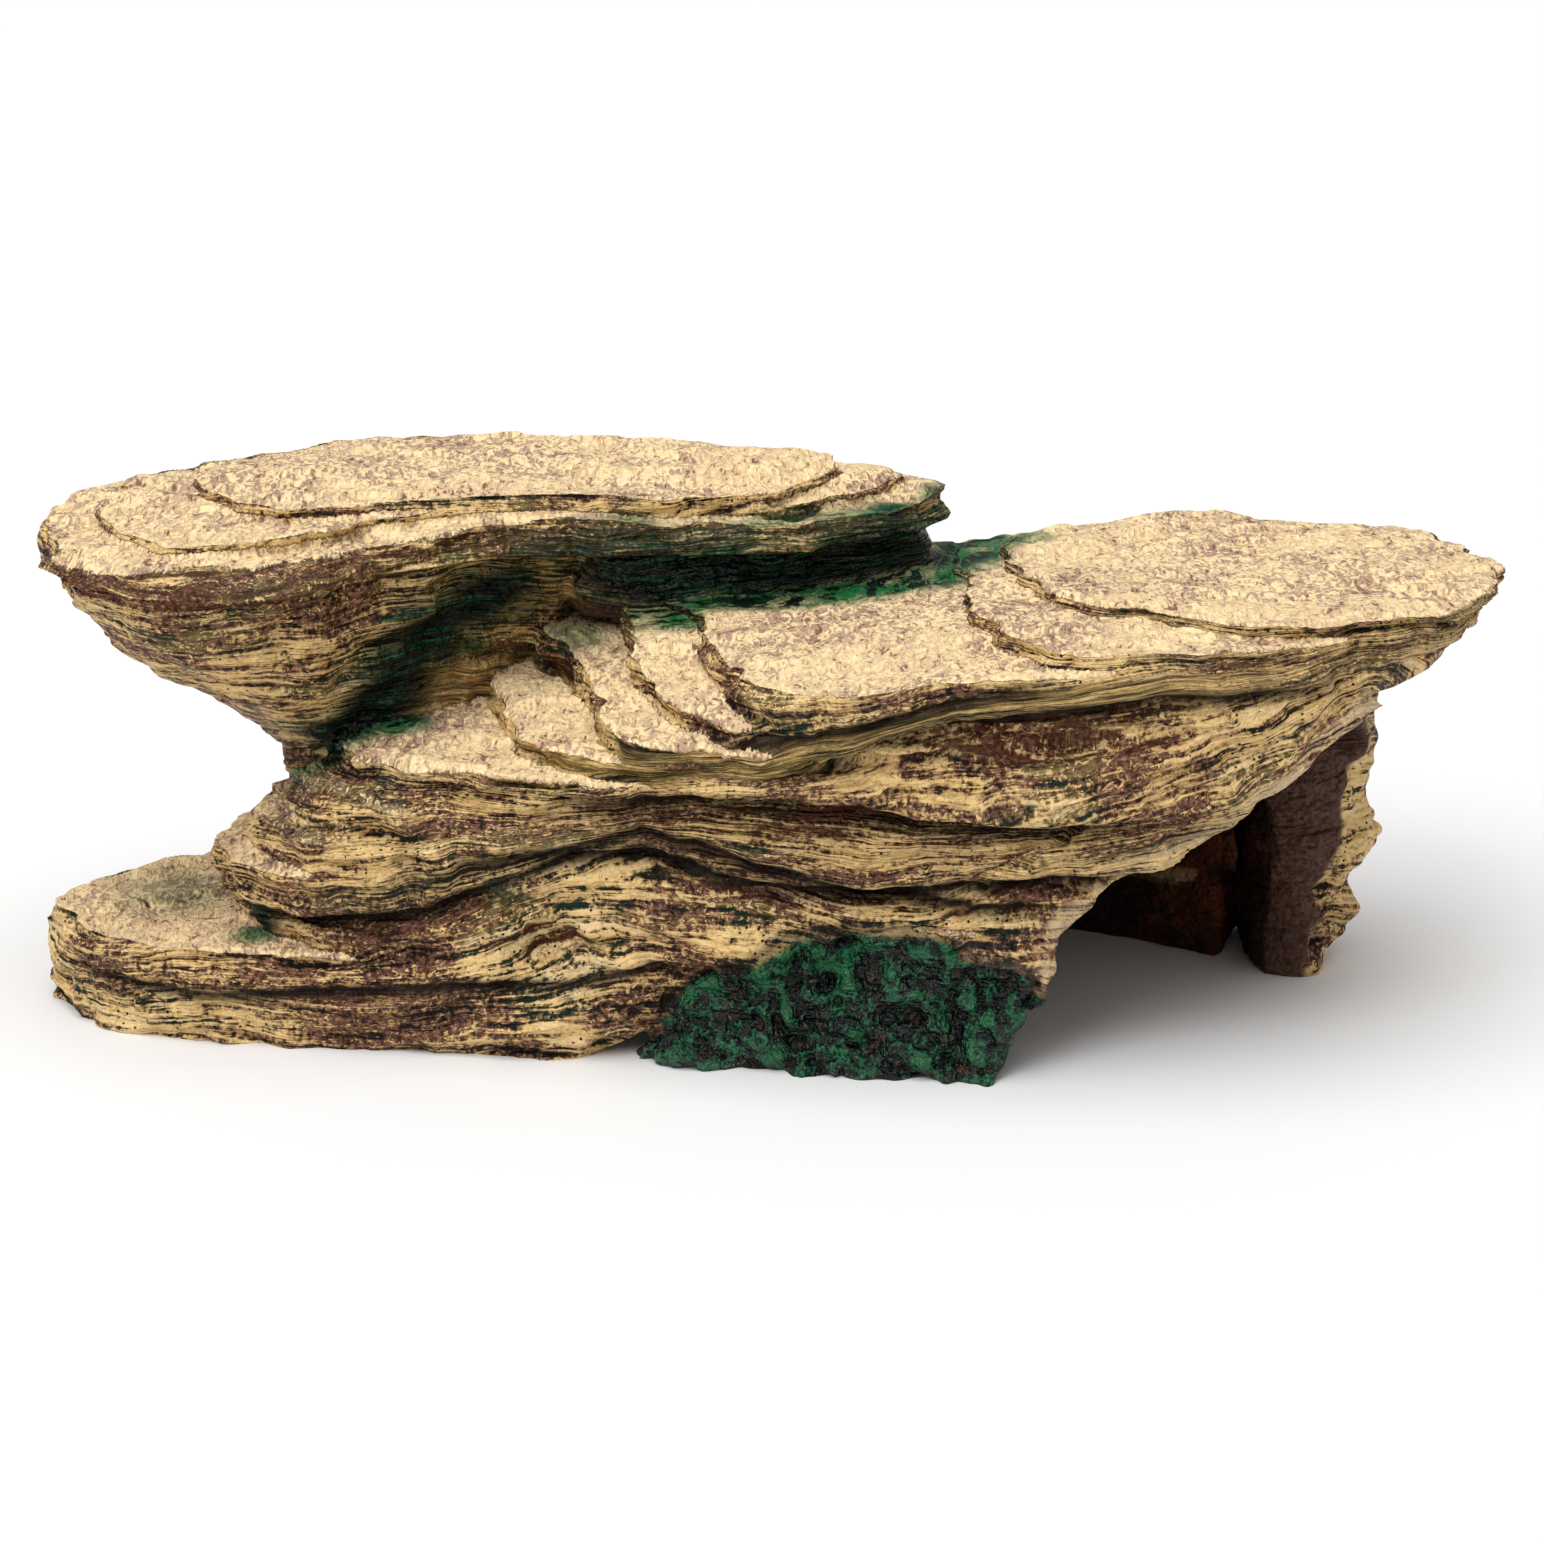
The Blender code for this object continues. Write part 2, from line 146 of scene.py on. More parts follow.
# Single places on the front: middle and half sizes.
PITTED = ((-48, -55, 26), (20, 14, 7))
KNOT = ((-48, -54, 26), (17, 14, 6.5))
FOOT_END = ((-138, -36, 14), (34, 30, 16))
LOBES = ((-96, -30, 50), (46, 34, 22))
LIP_END = ((142, -42, 83), (24, 28, 15))
# The bedding coordinate below the floor, at the four lines above, at the flat tops and over them.
BED_LEVELS = (-5.0, 27.0, 55.0, 64.0, 76.0, 97.0, 130.0)
TOPS, OVER_TOPS = 99, 132               # heights of the last two
# Where the upper tier's flat top bends down to its front, as (x, y), and the tier's right end.
BEVEL = (
    (-165, -12), (-149, -25), (-129, -32), (-109, -30), (-94, -22), (-82, -11), (-72, -3), (-58, 1),
    (-41, 4), (-14, 6), (9, 11), (30, 25), (44, 42),
)
TIER_END = 44
# The wet, dark green crevice that runs up between ledge and ramp.
CREVICE = (
    (-98, -6, 58), (-88, -8, 72), (-76, -4, 84), (-58, 2, 92), (-30, 8, 95), (0, 12, 95),
    (22, 20, 96), (40, 32, 96), (52, 50, 95),
)
# More places with a green wash, and more black-green ones: middle, half sizes, strength.
GREEN_SPOTS = (
    ((-136, 4, 22), (22, 26, 8), 0.35), ((-113, -31, 25), (9, 8, 8), 1.0),
    ((-59, -52, 37), (9, 9, 6), 0.9), ((-90, -44, 33), (22, 14, 6), 0.35),
    ((-72, -48, 38), (20, 14, 5), 0.35), ((-38, 25, 88), (16, 20, 6), 0.5),
    ((-83, 6, 79), (14, 12, 8), 0.55), ((-20, -58, 44), (18, 10, 3), 0.25),
    ((-64, -3, 82), (26, 20, 11), 1.0),
)
DARK_SPOTS = (
    ((-112, -32, 24), (8, 8, 7), 1.0), ((-66, -2, 81), (24, 18, 10), 0.95),
    ((-52, 2, 85), (24, 20, 12), 1.0), ((-82, -6, 72), (16, 16, 10), 0.9),
)
PILLAR_EDGE = (126.8, 0.18)             # x at the floor and slope of the plain face's right edge


# Numbers on points.

def noise(points, wavelength, seed, side=48):
    """Smooth noise of about unit size at the points, with one wavelength for each axis."""
    grid = np.random.default_rng(seed).standard_normal((side, side, side)).astype(np.float32)
    grid = grid.ravel()
    q = points / np.asarray(wavelength, np.float32)
    cell = np.floor(q)
    t = q - cell
    t = t * t * (3.0 - 2.0 * t)
    a = cell.astype(np.int64) % side
    b = (a + 1) % side
    total = 0.0
    for i, wx in ((a[:, 0], 1 - t[:, 0]), (b[:, 0], t[:, 0])):
        for j, wy in ((a[:, 1], 1 - t[:, 1]), (b[:, 1], t[:, 1])):
            row = (i * side + j) * side
            w = wx * wy
            total = total + w * ((1 - t[:, 2]) * grid[row + a[:, 2]] + t[:, 2] * grid[row + b[:, 2]])
    return total


def ease(value, low, high):
    """0 up to low and 1 from high on, with a smooth step between."""
    t = np.clip((value - low) / (high - low), 0.0, 1.0)
    return t * t * (3.0 - 2.0 * t)


def near(points, centre, radius):
    """1 at the centre and 0 outside an ellipsoid with these half sizes."""
    return 1 - ease(np.linalg.norm((points - np.array(centre)) / np.array(radius), axis=1), 0.2, 1.0)


def path_gap(points, path):
    """Distance from each point to a line through these places."""
    nearest = np.full(len(points), 1e9)
    for a, b in zip(path, path[1:]):
        a, b = np.array(a, float), np.array(b, float)
        t = np.clip(((points - a) @ (b - a)) / ((b - a) @ (b - a)), 0, 1)
        nearest = np.minimum(nearest, np.linalg.norm(points - a - t[:, None] * (b - a), axis=1))
    return nearest


def along(line, x):
    """Height of a line of (x, height) places at x."""
    xs, zs = zip(*line)
    return np.interp(x, xs, zs)


def bedding(x, z):
    """Height in the rock's own layers: equal values follow the creases."""
    marks = [
        np.full_like(x, BED_LEVELS[0]), along(FOOT_CREASE, x), along(WALL_CREASE, x),
        along(RIBBON_BOTTOM, x), along(RIBBON_TOP, x), np.full_like(x, TOPS), np.full_like(x, OVER_TOPS),
    ]
    bed = np.full(np.broadcast(x, z).shape, BED_LEVELS[0])
    for k in range(len(marks) - 1):
        span = marks[k + 1] - marks[k]
        share = np.clip((z - marks[k]) / span, 0.0, 1.0)
        bed = bed + share * (BED_LEVELS[k + 1] - BED_LEVELS[k])
    return bed


# The field: how far each point is outside the castings.

def read_node(obj):
    """A casting's points in millimetres and its triangles."""
    mesh = obj.data
    mesh.calc_loop_triangles()
    points = np.empty(len(mesh.vertices) * 3, np.float32)
    mesh.vertices.foreach_get("co", points)
    corners = np.empty(len(mesh.loop_triangles) * 3, np.int32)
    mesh.loop_triangles.foreach_get("vertices", corners)
    return points.reshape(-1, 3) * M, corners.reshape(-1, 3)


def soften(field, axis):
    """Each value averaged with its neighbours along one axis."""
    return 0.25 * (np.roll(field, 1, axis) + np.roll(field, -1, axis)) + 0.5 * field


NAMES = sorted(frame["nodes"])
low = np.array([c * M - MARGIN for c in cad_low])
high = np.array([c * M + MARGIN for c in cad_high])
first = np.floor(low / VOXEL).astype(int)
count = np.ceil((high - low) / VOXEL).astype(int) + 1
to_world = vdb.createLinearTransform(voxelSize=VOXEL)

field = np.full(count, BAND * VOXEL, np.float32)
owner = np.zeros(count, np.uint8)
for k, name in enumerate(NAMES):
    points, corners = read_node(frame["nodes"][name])
    level = vdb.FloatGrid.createLevelSetFromPolygons(
        points, triangles=corners, transform=to_world, halfWidth=float(BAND)
    )
    one = np.full(count, BAND * VOXEL, np.float32)
    level.copyToArray(one, ijk=tuple(int(i) for i in first))
    nearer = one < field
    owner[nearer] = k
    field = np.minimum(field, one)
for axis in (0, 1, 0, 1, 2):
    field = soften(field, axis)
field -= BOND

X, Y, Z = (
    ((first[a] + np.arange(count[a])) * VOXEL).reshape([-1 if a == b else 1 for b in range(3)])
    for a in range(3)
)

# The mouth's lip: a sheet behind a rounded edge that leans out as it rises.
lip_places = np.array([place for place, slope in MOUTH_LIP])
lip_slopes = np.array([slope for place, slope in MOUTH_LIP])
edge_x, edge_y, edge_slope = (
    np.interp(Z, lip_places[:, 2], values) for values in (lip_places[:, 0], lip_places[:, 1], lip_slopes)
)
behind = np.clip(edge_x - X, 0, LIP_REACH)
past = np.maximum(X - edge_x, 0) + np.maximum(edge_x - LIP_REACH - X, 0)
past = past + np.maximum(lip_places[0, 2] - Z, 0) + np.maximum(Z - lip_places[-1, 2], 0)
sheet = np.sqrt((0.7 * past) ** 2 + (Y - edge_y + edge_slope * behind) ** 2) - LIP_RADIUS
seam = WALL_SEAM[0] + WALL_SEAM[1] * X
sheet_owner = np.where(Z < seam, NAMES.index("lobed_wall"), NAMES.index("mid_course"))
owner = np.where((sheet < field) & (sheet < 2 * VOXEL), sheet_owner, owner)
field = np.minimum(field, sheet)
post = np.sqrt((X - POST_PLACE[0]) ** 2 + (Y - POST_PLACE[1]) ** 2) - POST_RADIUS
post = np.maximum(post, np.abs(Z - (POST_TOP + POST_BOTTOM) / 2) - (POST_TOP - POST_BOTTOM) / 2)
owner = np.where((post < field) & (post < 2 * VOXEL), sheet_owner, owner)
field = np.minimum(field, post)

# The field as a mesh of quads, each owned by the nearest casting.
grid = vdb.FloatGrid()
grid.background = BAND * VOXEL
grid.copyFromArray(field.astype(np.float32), ijk=tuple(int(i) for i in first))
grid.transform = to_world
points, triangles, quads = grid.convertToPolygons(isovalue=0.0, adaptivity=0.0)
del field
P = np.asarray(points, np.float32).astype(np.float64)
faces = np.asarray(quads, np.int64)
if len(triangles):
    extra = np.asarray(triangles, np.int64)
    faces = np.vstack([faces, extra[:, [0, 1, 2, 2]]])
middle = P[faces].mean(axis=1)
cell = np.clip(np.rint(middle / VOXEL).astype(int) - first, 0, count - 1)
face_owner = owner[cell[:, 0], cell[:, 1], cell[:, 2]]


def face_normals(points):
    """Each quad's normal, twice as long as its area."""
    return np.cross(points[faces[:, 2]] - points[faces[:, 0]], points[faces[:, 3]] - points[faces[:, 1]])


def point_normals(points):
    """Each point's unit normal over the whole surface, so that pieces shade alike where they meet."""
    flat = face_normals(points)
    total = np.stack([
        sum(np.bincount(faces[:, c], flat[:, a], len(points)) for c in range(4)) for a in range(3)
    ], axis=1)
    return total / np.maximum(np.linalg.norm(total, axis=1, keepdims=True), 1e-9)


volume = (face_normals(P) * P[faces].mean(axis=1)).sum()
if volume < 0:
    faces = faces[:, ::-1]


# The rock's relief. Masks run from 0 to 1 over the surface's points.

N = point_normals(P)
x, y, z = P[:, 0], P[:, 1], P[:, 2]
bed = bedding(x, z)
chamber = (
    ease(x, -52, -44) * ease(y, -50, -42) * (1 - ease(y, 45, 52)) * (1 - ease(z, 84, 90))
)
inward = (x > -60) & (x < 108) & (y > -62) & (y < 56) & (z < 92)
side_in = np.where(y > 0, -N[:, 1], N[:, 1])
inside = chamber * ease(side_in + (-N[:, 2]) * 1.2, 0.2, 0.7) * inward
# The back wall's end beside the pillar counts as inside too, so it also gets the cave's painted shade.
wall_end = ease(x, 98, 103) * (1 - ease(x, 117, 119)) * ease(y, -4, 2) * (1 - ease(y, 52, 56)) * (z < 84)
inside = np.maximum(inside, wall_end)

steep = 1 - ease(np.abs(N[:, 2]), 0.5, 0.85)
top = ease(N[:, 2], 0.6, 0.85)
facing = ease(-N[:, 1], 0.15, 0.6)


def share_of(name):
    """How much each point belongs to a node's piece."""
    mine = np.bincount(faces.ravel(), np.repeat(face_owner == NAMES.index(name), 4), len(P))
    return np.clip(mine / np.maximum(np.bincount(faces.ravel(), minlength=len(P)), 1), 0, 1)


pillar = share_of("rear_pillar")
moss_gap = along(MOSS_LINE, x) - z + 1.6 * noise(P, (9, 9, 6), 40)
moss = ease(moss_gap, -0.6, 0.8) * (1 - ease(y, *MOSS_BACK)) * (x > -40) * (x < 72)
# A dark band along the moss's top edge, painted black with the grooves: partly painted shade under the
# overhanging wall above, partly the band's own dark colour.
band = np.exp(-(((moss_gap + 1.4) / 1.8) ** 2)) * (1 - ease(y, *MOSS_BACK)) * (x > -32) * (x < 62)
lip_gap = path_gap(P, lip_places)
lip = (1 - ease(lip_gap, 1.6, 4.0)) * (1 - moss) * (1 - pillar)
bend = np.clip(1 - lip_gap / 30, 0, 1) ** 2 * ease(z, 40, 58) * (1 - moss) * (1 - pillar)


def crease(line, depth, start, end, above, below, swell):
    """A groove under an overhanging edge, along a bedding line of the front wall: its height, its
    black core, and the shaded hollow below it."""
    gap = z - along(line, x)
    reach = ease(x, start - 12, start + 12) * (1 - ease(x, end - 12, end + 12)) * facing
    shape = np.where(gap > 0, np.exp(-((gap / above) ** 2)), np.exp(-((gap / below) ** 2)))
    lip = np.exp(-(((gap - 2.6) / 2.2) ** 2))
    core = np.exp(-((np.where(gap > 0, gap / 1.0, gap / 2.1)) ** 2))
    return reach * (swell * lip - depth * shape), reach * core, reach * shape * (gap < 0.5)


grooves = [crease(*values) for values in CREASES]
carved = sum(g[0] for g in grooves)
# The grooves' black core, and the moss's edge band, which is partly painted shade.
groove = np.clip(np.maximum(sum(g[1] for g in grooves), 0.8 * band), 0, 1)
# The shaded hollow below each crease gets brown painted shade, in stretches.
stretch = 0.35 + 0.65 * ease(noise(P, (34, 34, 14), 42), -0.4, 0.6)
recess = np.clip(sum(g[2] for g in grooves), 0, 1) * stretch
# The pitted place gets the same brown painted shade, in spots.
recess = np.maximum(recess, near(P, *PITTED) * facing * (noise(P, 5, 49) < 0.2))

warp = np.stack([
    1.1 * noise(P, 17, 11) + 0.85 * noise(P, 7, 12) + 0.6 * noise(P, 3.4, 13),
    1.1 * noise(P, 17, 14) + 0.85 * noise(P, 7, 15) + 0.6 * noise(P, 3.4, 16),
    0.5 * noise(P, 21, 17) + 0.2 * noise(P, 7, 18),
], axis=1)
corner = near(P, *LIP_END)
warp *= ((1 - 0.6 * inside) * (1 - 0.6 * corner))[:, None]

bed = bed + 1.3 * noise(P, (30, 30, 22), 19) + 0.5 * noise(P, (11, 11, 8), 20)
bed = bed - 12 * bend
ribbon_low, ribbon_high = z - along(RIBBON_BOTTOM, x), along(RIBBON_TOP, x) - z
ribbon = ease(ribbon_low, -0.6, 1.0) * ease(ribbon_high, -1.0, 1.0) * ease(x, -96, -60) * facing
ribbon = ribbon * (1 - 0.8 * ease(x, 70, 130)) * (1 - bend)
knot = near(P, *KNOT) * facing
foot_end = near(P, *FOOT_END) * steep
flow = np.stack([x, y, bed], axis=1)
ribs = (
    0.9 - 1.5 * np.abs(noise(flow, (48, 48, 6.5), 23)) - 0.8 * np.abs(noise(flow, (26, 26, 3.2), 24))
    - 0.4 * np.abs(noise(flow, (13, 13, 1.7), 22))
)
lumps = 0.6 * noise(P, 10, 25)
pits = -0.6 * ease(noise(P, (2.6, 2.6, 1.8), 26), 1.3, 2.0)
flat_pits = -0.40 * ease(noise(P, (3.0, 5.5, 4.0), 27), 0.2, 1.4) - 0.25 * np.abs(noise(P, (6, 11, 8), 45))
levels = 1.2 * noise(P, (62, 24, 60), 28) + 0.35 * noise(P, (13, 7, 20), 29)
levels = np.floor(levels) + ease(levels - np.floor(levels), 0.40, 0.60)
flat_steps = 0.3 * noise(P, (14, 8, 9), 30) + 0.85 * levels
flat_place = P * (1.0, 1.0, 0.05)
crack_gap = np.min([
    path_gap(flat_place, [(px, py, 0.05 * pz) for px, py, pz in path])
    + 9.0 * ease(np.abs(z - path[0][2]), 7, 11) for path in CRACKS
], axis=0) + 0.9 * noise(P, (7, 7, 7), 43) + 0.4 * noise(P, (2.5, 2.5, 2.5), 46)
crack = top * (1 - ease(crack_gap, 0.5, 1.5))
calm = np.clip(sum(near(P, centre, radius) for centre, radius in CALM), 0, 1)
calm = calm * ease(noise(P, (16, 16, 5), 44), -1.0, 0.2)
moss_bumps = (
    1.1 * noise(P, 9.5, 31) + 1.4 * np.abs(noise(P, 4.6, 32)) + 0.7 * noise(P, 2.4, 33) - 0.8
)
relief = steep * ((1 - 0.6 * calm) * ribs + lumps + pits) + top * (flat_pits + flat_steps)
relief -= 1.1 * crack
past_bevel = np.interp(x, *zip(*BEVEL)) + 1.6 * noise(P, (14, 14, 14), 47) - y
bevel = ease(past_bevel, -1.0, 4.0) * (z > TOPS) * (x < TIER_END)
relief = relief * (1 - inside) * (1 - moss) + moss * moss_bumps + inside * 0.3 * noise(P, 6, 34)
relief = relief * (1 - 0.75 * lip) * (1 - 0.8 * pillar) * (1 - 0.9 * corner)
relief += pillar * (
    ease(N[:, 0], 0.0, 0.5) * (1.6 * noise(P, (8, 8, 7), 35) + 0.9 * noise(P, 3.6, 36))
    + 0.4 * noise(P, 9, 37)
)
relief += knot * (-2.2 + 1.3 * noise(P, (5, 5, 3.4), 38))
relief -= foot_end * 1.2 * (1 - ease(np.abs(noise(P, (7, 7, 26), 39)), 0.0, 0.3))
swells = sum(
    depth * near(P, centre, radius) for centre, radius, depth in SWELLS
) * facing * (1 - moss) * (1 - inside)
relief += carved * (1 - moss) * (1 - inside) + swells
# The part of the relief that the paint follows.
fine = steep * (ribs + pits) + top * 2 * flat_pits
fine = fine * (1 - moss) + moss * (moss_bumps - 0.8 * noise(P, 9.5, 31))

P = P + warp + N * relief[:, None]
P[:, 2] = np.maximum(P[:, 2], 0.0)
N = point_normals(P)


# Where the paints go.

spread = 7.0 + 2.5 * noise(P, 10, 41)
gap = path_gap(P, CREVICE)
green = 1 - ease(gap, spread + 1, spread + 11)
dark = 1 - ease(gap, spread * 0.7, spread + 6)
for centre, radius, share in GREEN_SPOTS:
    green = np.maximum(green, share * near(P, centre, radius))
for centre, radius, share in DARK_SPOTS:
    dark = np.maximum(dark, share * near(P, centre, radius))
dark = dark * (1 - top * 0.7) * (1 - moss)
top = top * (1 - 0.7 * bevel) * (1 - 0.55 * near(P, *LOBES))
plum = pillar * ease(PILLAR_EDGE[0] + PILLAR_EDGE[1] * z + 1.2 * noise(P, 6, 48) - x, -0.8, 0.6)
# swell and recess carry the painted shade of the hollows; the bevel is darkened as a hollow.
masks = {
    "bed": bed, "relief": fine, "top": top, "green": green, "dark": dark, "inner": inside,
    "groove": groove, "plum": plum, "lip": lip, "swell": np.clip(swells / 2.4 - 1.4 * bevel, -1.4, 1),
    "recess": recess, "calm": calm, "crack": crack, "moss": moss, "ribbon": ribbon,
}


# One piece of rock for each casting.

pieces = []
for k, name in enumerate(NAMES):
    mine = faces[face_owner == k]
    used, index = np.unique(mine, return_inverse=True)
    mesh = bpy.data.meshes.new(name + "_rock")
    mesh.vertices.add(len(used))
    mesh.vertices.foreach_set("co", (P[used] / M).astype(np.float32).ravel())
    mesh.loops.add(mine.size)
    mesh.loops.foreach_set("vertex_index", index.astype(np.int32).ravel())
    mesh.polygons.add(len(mine))
    mesh.polygons.foreach_set("loop_start", np.arange(0, mine.size, 4, dtype=np.int32))
    mesh.update(calc_edges=True)
    mesh.validate()
    mesh.shade_smooth()
    if len(mesh.vertices) == len(used):
        mesh.normals_split_custom_set_from_vertices(N[used].astype(np.float32).tolist())
    for label, values in masks.items():
        mesh.attributes.new(label, "FLOAT", "POINT")
        mesh.attributes[label].data.foreach_set("value", values[used].astype(np.float32))
    piece = bpy.data.objects.new(name + "_rock", mesh)
    bpy.context.scene.collection.objects.link(piece)
    pieces.append((name, piece))


# Paint.

class Paint:
    """A material's node tree, with short calls for the nodes it uses."""

    def __init__(self, name):
        self.material = bpy.data.materials.new(name)
        self.material.use_nodes = True
        self.tree = self.material.node_tree
        self.shader = self.tree.nodes["Principled BSDF"]

    def put(self, socket, value):
        """Links a node's output to a socket, or sets the socket to a plain value."""
        if isinstance(value, bpy.types.NodeSocket):
            self.tree.links.new(value, socket)
        else:
            socket.default_value = value

    def node(self, kind, **sockets):
        node = self.tree.nodes.new(kind)
        for name, value in sockets.items():
            self.put(node.inputs[name], value)
        return node

    def value(self, attribute):
        """A number kept on the mesh's points."""
        node = self.tree.nodes.new("ShaderNodeAttribute")
        node.attribute_name = attribute
        return node.outputs["Fac"]

    def math(self, operation, *values, clamp=False):
        node = self.tree.nodes.new("ShaderNodeMath")
        node.operation = operation
        node.use_clamp = clamp
        for socket, value in zip(node.inputs, values):
            self.put(socket, value)
        return node.outputs[0]

    def span(self, value, start, end):
        """0 at start and 1 at end, whichever is the greater."""
        node = self.tree.nodes.new("ShaderNodeMapRange")
        node.interpolation_type = "SMOOTHSTEP"
        self.put(node.inputs["Value"], value)
        node.inputs["From Min"].default_value = min(start, end)
        node.inputs["From Max"].default_value = max(start, end)
        node.inputs["To Min"].default_value = 0.0 if start < end else 1.0
        node.inputs["To Max"].default_value = 1.0 if start < end else 0.0
        return node.outputs[0]

    def vector(self, x, y, z):
        return self.node("ShaderNodeCombineXYZ", X=x, Y=y, Z=z).outputs[0]

    def stretched(self, place, kx, ky, kz):
        """A place scaled along each axis, for noise of another wavelength on each."""
        return self.vector(*(self.math("MULTIPLY", value, k) for value, k in zip(place, (kx, ky, kz))))

    def scaled(self, value, by, plus=0.0):
        return self.math("MULTIPLY_ADD", value, by, plus)

    def product(self, a, b):
        return self.math("MULTIPLY", a, b)

    def total(self, *values):
        made = values[0]
        for value in values[1:]:
            made = self.math("ADD", made, value)
        return made

    def noise(self, vector, scale, detail, roughness, distortion=0.0):
        node = self.node(
            "ShaderNodeTexNoise", Vector=vector, Scale=scale, Detail=detail, Roughness=roughness,
            Distortion=distortion,
        )
        return node.outputs["Fac"]

    def mix(self, share, a, b):
        """Colour a, or colour b where the share is 1."""
        node = self.tree.nodes.new("ShaderNodeMix")
        node.data_type = "RGBA"
        self.put(node.inputs[0], share)
        self.put(node.inputs[6], (*a, 1.0) if isinstance(a, tuple) else a)
        self.put(node.inputs[7], (*b, 1.0) if isinstance(b, tuple) else b)
        return node.outputs[2]

    def ramp(self, value, *stops):
        """Colours at places from 0 to 1, blended between them."""
        node = self.tree.nodes.new("ShaderNodeValToRGB")
        self.put(node.inputs[0], value)
        marks = node.color_ramp.elements
        while len(marks) < len(stops):
            marks.new(1.0)
        for mark, (place, colour) in zip(marks, stops):
            mark.position = place
            mark.color = (*colour, 1.0)
        return node.outputs[0]


BLACK = (0.008, 0.004, 0.002)
PLUM_DARK = (0.065, 0.028, 0.013)
PLUM = (0.25, 0.11, 0.072)
# Brown painted shade for the hollows and the recesses under the creases.
BROWN = (0.09, 0.042, 0.016)
OLIVE = (0.21, 0.155, 0.05)
OLIVE_DARK = (0.07, 0.06, 0.025)
OCHRE = (0.56, 0.35, 0.12)
SAND = (0.86, 0.585, 0.25)
CREAM = (0.90, 0.665, 0.355)
PALEST = (0.98, 0.76, 0.44)
PALE = (0.72, 0.52, 0.31)
MAUVE = (0.45, 0.30, 0.205)
PALE_LIP = (0.62, 0.46, 0.27)
PILLAR_PLUM = (0.12, 0.062, 0.05)
GREEN_BLACK = (0.003, 0.005, 0.004)
GREEN_DEEP = (0.003, 0.018, 0.010)
GREEN = (0.006, 0.055, 0.024)
EMERALD = (0.018, 0.12, 0.045)
# Red-brown: painted shade in the hollows, and a painted glow inside the cave.
RED_SHADE_AND_GLOW = (0.10, 0.022, 0.006)
WASH = (0.010, 0.17, 0.045)
# Near-black painted shade for the inside of the cave.
CAVE_SHADE = (0.018, 0.007, 0.004)
BUMP = 0.0022                           # metres of relief for a bump height of 1


